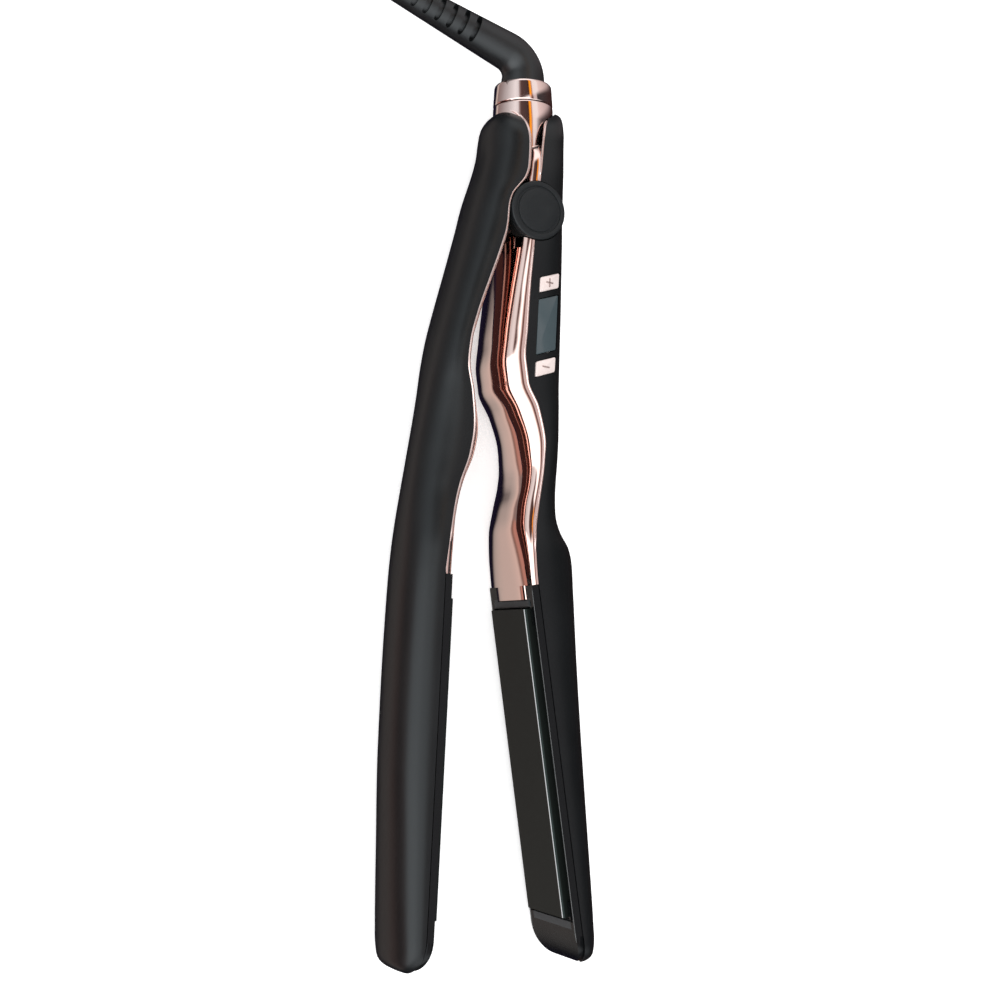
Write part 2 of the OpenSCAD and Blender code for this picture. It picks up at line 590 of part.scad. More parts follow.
module strain_relief_boot() color([0.05, 0.055, 0.06]) difference() {
    union() {
        on_collar() translate([0, 0, boot_low]) cylinder(r = boot_radius, h = elbow_z - boot_low);
        on_collar() translate([0, 0, elbow_z]) sphere(r = boot_radius);
        past_bend() cylinder(r1 = boot_root, r2 = boot_tip, h = boot_reach);
    }
    // hollow for the leads and the spindle, then the cord's bore
    on_collar() translate([0, 0, boot_low - 1]) cylinder(r = 4.9, h = 5);
    on_collar() translate([0, 0, boot_low]) cylinder(r = cord_radius, h = elbow_z - boot_low);
    on_collar() translate([0, 0, elbow_z]) sphere(r = cord_radius + 0.2);
    past_bend() cylinder(r = cord_radius, h = boot_reach + 1);
    // slots that let it flex, on alternate sides
    past_bend() for (i = [0:slot_count - 1], s = [-1, 1])
        translate([-inf / 2, s > 0 ? cord_radius + 0.45 : -inf - cord_radius - 0.45,
            boot_reach - 6 - (i + (s > 0 ? 0 : 0.5)) * slot_pitch])
            cube([inf, inf, 1.5]);
}

control_outer_shell();
control_inner_shell();
control_plate_carrier();
control_plate();
control_heater();
control_heater_clamp();
control_plate_cushions();
control_thermistor();
control_hinge_bracket();
control_shell_screws();
control_leads();
circuit_board();
display_module();
display_window();
upper_button();
lower_button();
button_switches();
plain_outer_shell();
plain_inner_shell();
plain_plate_carrier();
plain_plate();
plain_heater();
plain_heater_clamp();
plain_plate_cushions();
plain_thermal_fuse();
plain_hinge_bracket();
plain_shell_screws();
plain_leads();
hinge_pin();
hinge_clip();
hinge_washers();
hinge_spring();
upper_hinge_cap();
lower_hinge_cap();
fixed_collar();
swivel_ring();
swivel_spindle();
swivel_washer();
strain_relief_boot();
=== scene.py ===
import math

import bpy
import bmesh
from mathutils import Matrix, Vector


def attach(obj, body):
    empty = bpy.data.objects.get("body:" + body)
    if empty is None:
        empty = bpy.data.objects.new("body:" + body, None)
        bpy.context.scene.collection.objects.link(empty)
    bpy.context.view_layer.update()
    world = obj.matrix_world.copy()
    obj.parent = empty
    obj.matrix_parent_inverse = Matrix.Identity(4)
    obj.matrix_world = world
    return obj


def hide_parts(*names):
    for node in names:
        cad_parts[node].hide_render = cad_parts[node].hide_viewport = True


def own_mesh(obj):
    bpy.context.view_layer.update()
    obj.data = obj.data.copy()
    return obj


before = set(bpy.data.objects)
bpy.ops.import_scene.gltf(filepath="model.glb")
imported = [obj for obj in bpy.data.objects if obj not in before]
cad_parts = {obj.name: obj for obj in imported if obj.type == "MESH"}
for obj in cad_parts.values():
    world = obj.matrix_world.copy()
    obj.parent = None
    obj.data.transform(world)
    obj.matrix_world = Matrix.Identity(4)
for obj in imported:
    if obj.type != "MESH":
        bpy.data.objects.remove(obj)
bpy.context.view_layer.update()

MM = 0.001
OPEN = 11.0  # degrees between the arms at rest
OFFSET = 22.5  # from the hinge axis to the plane where the plates meet
MID = 16.0  # height of the iron's mid-plane

# ---------------------------------------------------------------- camera

cam_data = bpy.data.cameras.new("camera")
cam = bpy.data.objects.new("camera", cam_data)
bpy.context.scene.collection.objects.link(cam)
bpy.context.scene.camera = cam
cam.location = (0.1097, -0.26447, 0.50225)
cam.rotation_mode = "QUATERNION"
cam.rotation_quaternion = (0.72726, 0.181927, -0.142679, 0.646249)
cam_data.sensor_width = 36
cam_data.lens = 58.24
cam_data.clip_start = 0.01
cam_data.clip_end = 20

# ---------------------------------------------------------------- materials


def material(name, color, rough, metal=0.0, spec=0.5, coat=0.0, coat_rough=0.1, tint=(1, 1, 1)):
    m = bpy.data.materials.new(name)
    m.use_nodes = True
    b = m.node_tree.nodes["Principled BSDF"]
    b.inputs["Base Color"].default_value = (*color, 1)
    b.inputs["Roughness"].default_value = rough
    b.inputs["Metallic"].default_value = metal
    b.inputs["Specular IOR Level"].default_value = spec
    b.inputs["Coat Weight"].default_value = coat
    b.inputs["Coat Roughness"].default_value = coat_rough
    b.inputs["Specular Tint"].default_value = (*tint, 1)
    return m


def noise(m, scale, detail, stretch):
    """A noise texture in object coordinates."""
    t = m.node_tree
    co = t.nodes.new("ShaderNodeTexCoord")
    mp = t.nodes.new("ShaderNodeMapping")
    mp.inputs["Scale"].default_value = stretch
    t.links.new(co.outputs["Object"], mp.inputs["Vector"])
    n = t.nodes.new("ShaderNodeTexNoise")
    n.inputs["Scale"].default_value = scale
    n.inputs["Detail"].default_value = detail
    t.links.new(mp.outputs["Vector"], n.inputs["Vector"])
    return n.outputs["Fac"]


def ramp(m, source, stops):
    """A colour ramp on source, with stops of a position and a grey or a colour."""
    r = m.node_tree.nodes.new("ShaderNodeValToRGB")
    while len(r.color_ramp.elements) < len(stops):
        r.color_ramp.elements.new(0.5)
    for e, (p, c) in zip(r.color_ramp.elements, stops):
        e.position = p
        e.color = (c, c, c, 1) if isinstance(c, float) else (*c, 1)
    m.node_tree.links.new(source, r.inputs["Fac"])
    return r.outputs["Color"]


def put(m, socket, value):
    m.node_tree.links.new(value, m.node_tree.nodes["Principled BSDF"].inputs[socket])


def bump(m, height, strength, distance):
    b = m.node_tree.nodes.new("ShaderNodeBump")
    b.inputs["Strength"].default_value = strength
    b.inputs["Distance"].default_value = distance
    m.node_tree.links.new(height, b.inputs["Height"])
    put(m, "Normal", b.outputs["Normal"])


def mottled(m, base, other, scale, rough_low, rough_high, grain=None, depth=0.00002, amount=0.3,
            stretch=(1, 1, 1)):
    """Slow colour and roughness variation, with a fine grain in the bump."""
    n = noise(m, scale, 4, stretch)
    put(m, "Base Color", ramp(m, n, [(0.3, base), (0.7, other)]))
    put(m, "Roughness", ramp(m, n, [(0.25, rough_low), (0.75, rough_high)]))
    if grain:
        bump(m, noise(m, grain, 3, stretch), amount, depth)
    return m


COOL = (0.9, 0.96, 1.0)
soft_black = mottled(material("soft_touch_black", (0.0045, 0.0052, 0.0058), 0.36, spec=0.43,
                              tint=COOL),
                     (0.004, 0.0047, 0.0052), (0.0052, 0.006, 0.0066), 60, 0.34, 0.39,
                     grain=5200, depth=0.000012, amount=0.2)
plate_coat = mottled(material("plate_coating", (0.0085, 0.0105, 0.0095), 0.36, spec=0.26,
                              tint=(0.6, 0.88, 0.84)),
                     (0.0075, 0.0092, 0.0083), (0.0105, 0.0125, 0.0115), 45, 0.34, 0.4,
                     grain=900, depth=0.000004, amount=0.15, stretch=(0.08, 1, 1))
plate_edge = mottled(material("plate_edge", (0.3, 0.31, 0.32), 0.3, metal=1.0),
                     (0.26, 0.27, 0.28), (0.34, 0.35, 0.36), 300, 0.25, 0.35,
                     grain=1500, depth=0.000004, amount=0.2, stretch=(0.1, 1, 1))
boot_black = mottled(material("boot_rubber", (0.004, 0.0045, 0.005), 0.4, spec=0.7, tint=COOL),
                     (0.0035, 0.004, 0.0045), (0.006, 0.0065, 0.007), 160, 0.36, 0.43,
                     grain=2600, depth=0.000016, amount=0.25)
cap_black = mottled(material("cap_black", (0.008, 0.0095, 0.0105), 0.5, spec=0.4, tint=COOL),
                    (0.0075, 0.009, 0.01), (0.0095, 0.011, 0.012), 200, 0.46, 0.54,
                    grain=4200, depth=0.000014, amount=0.28)
# painted shade: near-black matte for the sleeves that stand in for the shade in the gaps round the
# hinge caps
painted_gap_shade = mottled(material("painted_gap_shade", (0.003, 0.003, 0.003), 0.8, spec=0.2),
                    (0.0025, 0.0025, 0.0025), (0.004, 0.004, 0.004), 200, 0.75, 0.85)
button_gold = mottled(material("pale_rose_gold", (0.86, 0.73, 0.7), 0.34, metal=0.25, spec=0.5),
                      (0.84, 0.71, 0.68), (0.9, 0.78, 0.75), 220, 0.3, 0.4,
                      grain=1800, depth=0.000008, amount=0.25, stretch=(1, 0.15, 1))
glyph_tone = mottled(material("button_mark", (0.66, 0.5, 0.47), 0.35, metal=0.7),
                     (0.62, 0.47, 0.44), (0.7, 0.55, 0.52), 220, 0.3, 0.4)
glass_slate = mottled(material("display_glass", (0.055, 0.075, 0.083), 0.16, spec=0.5, coat=0.4,
                               coat_rough=0.04),
                      (0.05, 0.069, 0.077), (0.06, 0.081, 0.09), 60, 0.14, 0.2)
bright_line = mottled(material("carrier_bead", (0.05, 0.055, 0.058), 0.3, spec=0.8),
                      (0.045, 0.05, 0.053), (0.06, 0.065, 0.068), 300, 0.26, 0.36)


def rose_gold(name, rough=0.07, tint=(0.9, 0.68, 0.62), pale=(0.92, 0.72, 0.665)):
    return mottled(material(name, tint, rough, metal=1.0), tint, pale, 35, rough * 0.75,
                   rough * 1.35, grain=700, depth=0.000003, amount=0.08)


gold = rose_gold("rose_gold")
gold_rim = rose_gold("rose_gold_rim", 0.3, (0.92, 0.72, 0.68), (0.94, 0.76, 0.72))
gold_collar = rose_gold("rose_gold_collar", 0.09, (0.9, 0.73, 0.69), (0.93, 0.77, 0.735))

steel = mottled(material("steel", (0.5, 0.5, 0.5), 0.3, metal=1.0), (0.45, 0.45, 0.46),
                (0.58, 0.58, 0.58), 400, 0.25, 0.4, grain=1800, depth=0.000006, amount=0.3)
dark_steel = mottled(material("bracket_steel", (0.06, 0.062, 0.065), 0.4, metal=0.9),
                     (0.05, 0.052, 0.055), (0.08, 0.082, 0.085), 300, 0.35, 0.5, grain=1500,
                     depth=0.00001, amount=0.3)
nylon = mottled(material("nylon", (0.8, 0.8, 0.75), 0.45), (0.74, 0.74, 0.69), (0.82, 0.82, 0.78),
                250, 0.4, 0.5, grain=1500, depth=0.00001)
silicone = mottled(material("silicone", (0.5, 0.1, 0.05), 0.6), (0.45, 0.08, 0.04),
                   (0.55, 0.13, 0.07), 200, 0.55, 0.68, grain=1800, depth=0.00001)
ceramic = mottled(material("ceramic", (0.82, 0.81, 0.76), 0.5), (0.78, 0.77, 0.72),
                  (0.86, 0.85, 0.8), 250, 0.45, 0.58, grain=2500, depth=0.00001)
aluminium = mottled(material("clamp_aluminium", (0.62, 0.63, 0.64), 0.32, metal=1.0),
                    (0.57, 0.58, 0.59), (0.68, 0.69, 0.7), 300, 0.28, 0.4, grain=900,
                    depth=0.000008, amount=0.3, stretch=(0.1, 1, 1))
board_green = mottled(material("board", (0.02, 0.12, 0.05), 0.35), (0.015, 0.1, 0.04),
                      (0.03, 0.15, 0.07), 900, 0.3, 0.42)
lead_sleeve = mottled(material("lead", (0.6, 0.55, 0.5), 0.6), (0.55, 0.5, 0.45),
                      (0.65, 0.6, 0.55), 500, 0.55, 0.7)

# ---------------------------------------------------------------- arm profiles, as in part.scad

PLATE_X0, PLATE_X1 = 131.6, 233.2
TIP = PLATE_X1 + 16.8
CORNER, HEAD_CORNER = 10.0, 12
STATION = 1.7  # between the sections along an arm
CARRIER_X, TONGUE_X, TONGUE_HALF, FACE_Y = 124.0, 128.6, 10.6, 1.7
WALL, INNER_WALL, STRAP = 1.8, 1.4, 1.8
NECK_X, NECK_HALF = 10.8, 6.8
PARTING = 0.1
CONTROL_HEAD, PLAIN_HEAD = -37.0, -36.8

CONTROL_SEAM = [(-37, 38.6), (-33, 34), (-29, 30.8), (-24, 28.9), (-17, 26.9), (0, 22.4),
                (23, 17), (39, 13.7), (50, 11.5), (57, 11.5), (66, 14.2), (76, 15.1), (84, 13.7),
                (96, 10.2), (107, 6.7), (116, 5.2), (124, 4.8), (PLATE_X1 + 4, 4.8),
                (TIP - 5, 5.3), (TIP, 7)]
CONTROL_CROWN = [(-37, 42.3), (-20, 38.6), (0, 35), (33, 30.3), (49, 27.7), (66, 24.6), (83, 21.5),
                 (96, 19.1), (103, 18.5), (108, 19.5), (114, 22.3), (118, 22.8), (129, 21.9),
                 (150, 19.8), (176, 17.5), (200, 15.6), (PLATE_X1 - 3, 13.2), (TIP - 6, 11.9),
                 (TIP, 11.6)]
CONTROL_FACE = [(-26, 24), (-12, 19), (0, 16.4), (11, 13.7), (25, 9.6), (41, 5.1), (51, 3), (57, 3),
                (67, 6.3), (77, 8.1), (84, 7.9), (90, 6.6), (98, 3.6), (106, 1.8), (124, FACE_Y)]
PLAIN_SEAM = [(-37, -16), (-30, -18), (-23, -18.7), (-15, -18.3), (-11, -17.2), (-8, -15.2),
              (-4, -12.8), (0, -12), (4, -11.8), (16, -9), (26, -6), (37, -2.7), (47, -0.6),
              (54, -0.2), (64, -2.2), (75, -3.4), (84, -2.4), (94, 0.6), (104, 2.6), (116, 4.2),
              (124, 4.8), (PLATE_X1 + 4, 4.8), (TIP - 5, 5.3), (TIP, 7)]
PLAIN_CROWN = [(-37, -8.8), (-24, -8.4), (-7, -4.7), (15, 0.2), (31, 3.9), (46, 7), (67, 9.9),
               (87, 12.5), (107, 14.5), (132, 15.7), (156, 16), (180, 15.8), (213, 14.3),
               (PLATE_X1, 13.2), (TIP - 6, 12.4), (TIP, 11.8)]
PLAIN_FACE = [(-37, -15), (-12, -15), (0, -14.5), (11, -12.3), (25, -8.4), (41, -4), (51, -1.9),
              (57, -1.9), (67, -5), (77, -6.7), (84, -5.6), (92, -2.4), (100, -0.2), (108, 1.2),
              (124, FACE_Y)]
HALF_WIDTHS = [(-38, 13), (-24, 14.2), (-10, 15.2), (8, 15.2), (30, 14.4), (50, 14.2), (95, 14.2),
               (116, 16), (TIP, 16)]
CONTROL_SQUARE = [(-37, 3.5), (0, 4.2), (50, 4), (95, 3.2), (116, 3)]
PLAIN_SQUARE = [(-38, 2.5), (0, 2.5), (116, 2.5)]
FACE_SQUARE = [(-38, 2.6), (60, 2.8), (95, 3.0), (112, 3.5), (124, 4.2)]


def chord(p, i):
    return (p[i + 1][1] - p[i][1]) / (p[i + 1][0] - p[i][0])


def slope(p, i):
    if i == 0:
        return chord(p, 0)
    if i == len(p) - 1:
        return chord(p, i - 1)
    a, b = chord(p, i - 1), chord(p, i)
    return 0.0 if a * b <= 0 else 2 * a * b / (a + b)


def curve(p, x):
    """A smooth curve through the points p, which keeps their rises and falls."""
    if x <= p[0][0]:
        return p[0][1]
    if x >= p[-1][0]:
        return p[-1][1]
    i = max(k for k in range(len(p) - 1) if p[k][0] <= x)
    h = p[i + 1][0] - p[i][0]
    t = (x - p[i][0]) / h
    return (p[i][1] * (1 + 2 * t) * (1 - t) ** 2 + slope(p, i) * h * t * (1 - t) ** 2
            + p[i + 1][1] * t * t * (3 - 2 * t) + slope(p, i + 1) * h * t * t * (t - 1))


def rounding(d, r, least):
    """How far a corner of radius r has opened, from least to 1, at a distance d from its end."""
    return 1.0 if d >= r else math.sqrt(max(least, 1 - ((r - d) / r) ** 2))


def arch(half, base, rise, n, count):
    """Section from one side to the other as (y, z), with points spread evenly along it."""
    out = []
    for k in range(count + 1):
        a = math.pi * k / count
        s, c = math.sin(a), math.cos(a)
        out.append((base + rise * abs(s) ** (2 / n), half * math.copysign(abs(c) ** (2 / n), c)))
    fine = []
    lengths = [0.0]
    for p, q in zip(out, out[1:]):
        lengths.append(lengths[-1] + math.hypot(q[0] - p[0], q[1] - p[1]))
    j = 0
    for k in range(count + 1):
        want = lengths[-1] * k / count
        while j < count - 1 and lengths[j + 1] < want:
            j += 1
        span = max(lengths[j + 1] - lengths[j], 1e-9)
        t = min(max((want - lengths[j]) / span, 0), 1)
        fine.append(tuple(u + (v - u) * t for u, v in zip(out[j], out[j + 1])))
    return fine


TURN = Matrix.Rotation(math.radians(-OPEN), 4, "Z")


def on_control(x, y, z):
    return Vector((x, y - OFFSET, z + MID)) * MM


def on_plain(x, y, z):
    return TURN @ (Vector((x, -OFFSET - y, z + MID)) * MM)


def obj_from(name, verts, faces, mat, angle=35, body=None, replaced=(), slot=None):
    me = bpy.data.meshes.new(name)
    me.from_pydata([tuple(v) for v in verts], [], faces)
    me.validate()
    bm = bmesh.new()
    bm.from_mesh(me)
    bmesh.ops.remove_doubles(bm, verts=bm.verts, dist=1e-7)
    bmesh.ops.recalc_face_normals(bm, faces=bm.faces)
    bm.to_mesh(me)
    bm.free()
    o = bpy.data.objects.new(name, me)
    bpy.context.scene.collection.objects.link(o)
    me.materials.append(mat)
    smooth(o, angle)
    if body:
        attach(o, body)
    if replaced:
        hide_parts(*replaced)
    return o


def smooth(o, angle):
    """Smooth shading with edges sharper than the angle kept sharp."""
    bm = bmesh.new()
    bm.from_mesh(o.data)
    limit = math.radians(angle)
    for f in bm.faces:
        f.smooth = True
    for e in bm.edges:
        e.smooth = len(e.link_faces) == 2 and e.calc_face_angle(0) <= limit
    bm.to_mesh(o.data)
    bm.free()


def tube_faces(rings, n):
    """Faces between closed rings of n points, and one at each end."""
    sides = [(i * n + k, i * n + (k + 1) % n, (i + 1) * n + (k + 1) % n, (i + 1) * n + k)
             for i in range(rings - 1) for k in range(n)]
    return sides + [tuple(range(n))[::-1], tuple(range((rings - 1) * n, rings * n))]


def loft(rings_out, rings_in):
    """Vertices and faces of a shell between two skins, closed along both edges and at both ends."""
    rows, cols = len(rings_out), len(rings_out[0])
    verts = [p for r in rings_out for p in r] + [p for r in rings_in for p in r]
    o = lambda i, j: i * cols + j
    n = lambda i, j: (rows + i) * cols + j
    faces = []
    for i in range(rows - 1):
        for j in range(cols - 1):
            faces.append((o(i, j), o(i, j + 1), o(i + 1, j + 1), o(i + 1, j)))
            faces.append((n(i, j), n(i + 1, j), n(i + 1, j + 1), n(i, j + 1)))
        faces.append((o(i, 0), o(i + 1, 0), n(i + 1, 0), n(i, 0)))
        faces.append((o(i, cols - 1), n(i, cols - 1), n(i + 1, cols - 1), o(i + 1, cols - 1)))
    for i, flip in ((0, False), (rows - 1, True)):
        for j in range(cols - 1):
            q = (o(i, j), n(i, j), n(i, j + 1), o(i, j + 1))
            faces.append(q[::-1] if flip else q)
    return verts, faces


def steps(x0, x1, step, ends=(0, 0.12, 0.35, 0.7, 1.2, 1.9, 2.8, 4, 5.5, 7.3, 9.5)):
    """Places from x0 to x1, closer together near both ends."""
    run = x1 - x0 - 2 * ends[-1]
    n = max(2, round(run / step))
    return ([x0 + e for e in ends] + [x0 + ends[-1] + run * i / n for i in range(1, n)]
            + [x1 - e for e in reversed(ends)])


def cut(o, cutters, angle=35):
    """Takes the cutters away from o and removes them."""
    for c in cutters:
        mod = o.modifiers.new("cut", "BOOLEAN")
        mod.operation = "DIFFERENCE"
        mod.solver = "EXACT"
        mod.object = c
        dg = bpy.context.evaluated_depsgraph_get()
        me = bpy.data.meshes.new_from_object(o.evaluated_get(dg))
        o.modifiers.clear()
        old, o.data = o.data, me
        bpy.data.meshes.remove(old)
        bpy.data.objects.remove(c)
    smooth(o, angle)


def cylinder(start, end, r, sides=96):
    """A plain cylinder used as a cutter."""
    a, b = Vector(start), Vector(end)
    d = (b - a).normalized()
    u = d.orthogonal().normalized()
    w = d.cross(u)
    verts = [p + r * (math.cos(2 * math.pi * k / sides) * u + math.sin(2 * math.pi * k / sides) * w)
             for p in (a, b) for k in range(sides)]
    return obj_from("cutter", verts, tube_faces(2, sides), soft_black)


def prism(outline, z0, z1, place, name="cutter", mat=None, bevel=0.0, **kw):
    """A prism on an outline of (x, y) points, with its upper edge chamfered by bevel."""
    n = len(outline)
    cx = sum(p[0] for p in outline) / n
    cy = sum(p[1] for p in outline) / n
    rings = [(z0, 0.0), (z1 - bevel, 0.0)]
    if bevel:
        rings += [(z1 - bevel * (1 - math.sin(a)), bevel * (1 - math.cos(a)))
                  for a in (math.radians(30), math.radians(60), math.radians(90))]
    verts = []
    for z, d in rings:
        for x, y in outline:
            r = math.hypot(x - cx, y - cy)
            k = (r - d) / r
            verts.append(place(cx + (x - cx) * k, cy + (y - cy) * k, z))
    return obj_from(name, verts, tube_faces(len(rings), n), mat or soft_black, **kw)


# ---------------------------------------------------------------- outer shells

COLLAR_LEAN = math.radians(8)
COLLAR_AXIS = Vector((-math.cos(COLLAR_LEAN), math.sin(COLLAR_LEAN), 0))
COLLAR_SIDE = Vector((math.sin(COLLAR_LEAN), math.cos(COLLAR_LEAN), 0))
UP = Vector((0, 0, 1))
CENTRE = Vector((0, 2.1, MID)) * MM
COLLAR_FLAT, FLAT_TOP = 9.5, 33
RECESS_R, RECESS_LOW, RECESS_HIGH = 11.1, 18, 78
CAP_R, CAP_T, CAP_POCKET_R, CAP_POCKET_Z = 10.0, 5.2, 10.3, 7.15


def collar_point(r, a, z):
    """A point at radius r, angle a and height z on the collar's axis."""
    return CENTRE + MM * (COLLAR_AXIS * z + r * (COLLAR_SIDE * math.cos(a) + UP * math.sin(a)))


def collar_recess(turn, flat=None):
    """Cutter for the space round the collar, with a flat on its outer side up to FLAT_TOP."""
    rows = [(RECESS_LOW, RECESS_R), (RECESS_HIGH, RECESS_R)]
    if flat:
        top = FLAT_TOP + 0.2
        rows = [(RECESS_LOW, flat), (top, flat), (top, RECESS_R), (RECESS_HIGH, RECESS_R)]
    sides = 96
    verts = []
    for z, limit in rows:
        for k in range(sides):
            a = 2 * math.pi * k / sides
            side, up = min(RECESS_R * math.cos(a), limit), RECESS_R * math.sin(a)
            verts.append(turn @ (CENTRE + MM * (COLLAR_AXIS * z + COLLAR_SIDE * side + UP * up)))
    return obj_from("cutter", verts, tube_faces(len(rows), sides), soft_black)


def cap_pockets():
    """Cutters for the two pockets that the hinge caps sit in."""
    return [cylinder((0, 0, (MID + s * CAP_POCKET_Z) * MM), (0, 0, (MID + s * 24) * MM),
                     CAP_POCKET_R * MM) for s in (-1, 1)]


COLS = 72


def outer_skins(seam, crown, square, x0, head_round, tip_round, place):
    """Sections of an outer shell's two skins, from its head at x0 to the tip."""
    def half(x):
        return (curve(HALF_WIDTHS, x) - CORNER * (1 - rounding(TIP - x, CORNER, 0.004))) * rounding(
            x - x0, HEAD_CORNER, 0.05)

    def base(x):
        return curve(seam, x) + PARTING

    def rise(x):
        return (curve(crown, x) - base(x)) * rounding(x - x0, head_round, 0.03) * rounding(
            TIP - x, tip_round, 0.03)

    xs = steps(x0, TIP, STATION)
    outer = [[place(x, y, z) for y, z in arch(half(x), base(x), rise(x), curve(square, x), COLS)]
             for x in xs]
    inner = []
    for s in xs:
        x = x0 + WALL + (s - x0) * (TIP - x0 - 2 * WALL) / (TIP - x0)
        inner.append([place(x, y, z)
                      for y, z in arch(max(half(x) - WALL, 0.8), base(x), max(rise(x) - WALL, 0.3),
                                       curve(square, x), COLS)])
    return outer, inner


# The controls' own frame, on the handle's flat side
CONTROL_AT = Vector((38.4, 21.5 - OFFSET, MID + 13.6)) * MM
CONTROL_TURN = (Matrix.Rotation(math.radians(-11), 4, "Z")
                @ Matrix.Rotation(math.radians(-10.5), 4, "X"))
WINDOW = (18.8, 8.0)
BUTTON = (5.2, 8.0)
PITCH = 14.4
PLAY = 0.5  # between the controls and the edges of their openings
SLANT = math.tan(math.radians(20))


def on_controls(x, y, z):
    return CONTROL_AT + CONTROL_TURN @ (Vector((x, y, z)) * MM)


def slanted(length, width, at=0.0, corner=0.7):
    """Parallelogram outline with rounded corners."""
    shift = width / 2 * SLANT
    pts = [(-length / 2 + shift, -width / 2), (length / 2 + shift, -width / 2),
           (length / 2 - shift, width / 2), (-length / 2 - shift, width / 2)]
    out = []
    for i, p in enumerate(pts):
        a, b = Vector(pts[i - 1]), Vector(pts[(i + 1) % 4])
        p = Vector(p)
        u, w = (a - p).normalized(), (b - p).normalized()
        for k in range(7):
            t = k / 6
            q = (p + u * corner) * (1 - t) ** 2 + 2 * p * t * (1 - t) + (p + w * corner) * t * t
            out.append((q.x + at, q.y))
    return out


rings = outer_skins(CONTROL_SEAM, CONTROL_CROWN, CONTROL_SQUARE, CONTROL_HEAD, 3.5, 3, on_control)
control_shell = obj_from("control_outer_shell_smooth", *loft(*rings), soft_black)
openings = [prism(slanted(length + PLAY, width + PLAY, at), -5, 6, on_controls)
            for (length, width), at in ((WINDOW, 0.0), (BUTTON, -PITCH), (BUTTON, PITCH))]
cut(control_shell, [*cap_pockets(), collar_recess(Matrix.Identity(4), COLLAR_FLAT + 0.2),
                    *openings])
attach(control_shell, "control_arm")
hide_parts("control_outer_shell")

rings = outer_skins(PLAIN_SEAM, PLAIN_CROWN, PLAIN_SQUARE, PLAIN_HEAD, 7, 3.5, on_plain)
plain_shell = obj_from("plain_outer_shell_smooth", *loft(*rings), soft_black)
cut(plain_shell, [collar_recess(Matrix.Rotation(math.radians(-a), 4, "Z")) for a in (0, OPEN)])
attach(plain_shell, "plain_arm")
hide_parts("plain_outer_shell")

# ---------------------------------------------------------------- inner shells


def inner_skins(seam, face, x0, neck, place):
    """Sections of an inner shell's two skins: a neck where asked for, the face and the tongue."""
    step = 0.02
    main = NECK_X if neck else x0

    def half(x):
        return curve(HALF_WIDTHS, x) * (1 if neck else rounding(x - x0, HEAD_CORNER, 0.1))

    def skin(x, wall):
        base = curve(seam, x) - PARTING
        return [place(x, y, z) for y, z in arch(half(x) - wall, base, curve(face, x) - base + wall,
                                                curve(FACE_SQUARE, x), COLS)]

    def strap(x, h, wall):
        return [place(x, y, z) for y, z in arch(h - wall, curve(face, x) + STRAP, wall - STRAP, 6,
                                                COLS)]

    def inset(x, a, b):
        return a + INNER_WALL + (x - a) * (b - a - 2 * INNER_WALL) / (b - a)

    xs = steps(main, CARRIER_X, STATION, (0, 0.4, 1, 2, 3.5, 5.5))
    necks = [x0 + (main - step - x0) * k / 10 for k in range(11)] if neck else []
    ends = [CARRIER_X + step, (CARRIER_X + TONGUE_X) / 2, TONGUE_X]
    outer = ([strap(x, NECK_HALF, 0) for x in necks] + [skin(x, 0) for x in xs]
             + [strap(x, TONGUE_HALF, 0) for x in ends])
    inner = ([strap(inset(x, x0, main + 2 * INNER_WALL), NECK_HALF, INNER_WALL) for x in necks]
             + [skin(inset(s, main, CARRIER_X), INNER_WALL) for s in xs]
             + [strap(x, TONGUE_HALF, INNER_WALL)
                for x in (CARRIER_X - INNER_WALL + step, TONGUE_X - 2.5, TONGUE_X - 1)])
    return outer, inner


rings = inner_skins(CONTROL_SEAM, CONTROL_FACE, -28, False, on_control)
control_inner = obj_from("control_inner_shell_smooth", *loft(*rings), gold, 40)
cut(control_inner, [*cap_pockets(), collar_recess(Matrix.Identity(4))], 40)
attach(control_inner, "control_arm")
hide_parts("control_inner_shell")

rings = inner_skins(PLAIN_SEAM, PLAIN_FACE, -10, True, on_plain)
obj_from("plain_inner_shell_smooth", *loft(*rings), gold, 40, "plain_arm", ["plain_inner_shell"],
         "rose_gold")

# ---------------------------------------------------------------- collar, ring and hinge caps


def lathe(name, profile, place, mat, sides=144, angle=30, close=True, **kw):
    """Turned piece from (r, z) points, joined last to first if close. place takes (r, angle, z)."""
    n = len(profile)
    verts = [place(r, 2 * math.pi * k / sides, z) for k in range(sides) for r, z in profile]
    faces = []
    for k in range(sides):
        m = (k + 1) % sides
        for i in range(n if close else n - 1):
            j = (i + 1) % n
            faces.append((k * n + i, k * n + j, m * n + j, m * n + i))
    return obj_from(name, verts, faces, mat, angle, **kw)


COLLAR_R, COLLAR_TOP, RING_TOP, FLANGE = 10.3, 39.4, 47.2, 26
collar = [(COLLAR_R + 0.4, 19), (COLLAR_R + 0.14, FLAT_TOP), (COLLAR_R + 0.139, FLAT_TOP + 0.02),
          (COLLAR_R + 0.03, COLLAR_TOP - 0.5), (COLLAR_R - 0.04, COLLAR_TOP - 0.25),
          (COLLAR_R - 0.2, COLLAR_TOP - 0.06), (COLLAR_R - 0.42, COLLAR_TOP), (4.95, COLLAR_TOP),
          (4.95, FLANGE + 2.8), (8.4, FLANGE + 2.8), (8.4, 19)]


def flatted_point(r, a, z):
    """A point on the collar, held back to its flat below FLAT_TOP."""
    side = r * math.cos(a)
    if z <= FLAT_TOP:
        side = min(side, COLLAR_FLAT)
    return CENTRE + MM * (COLLAR_AXIS * z + COLLAR_SIDE * side + UP * r * math.sin(a))


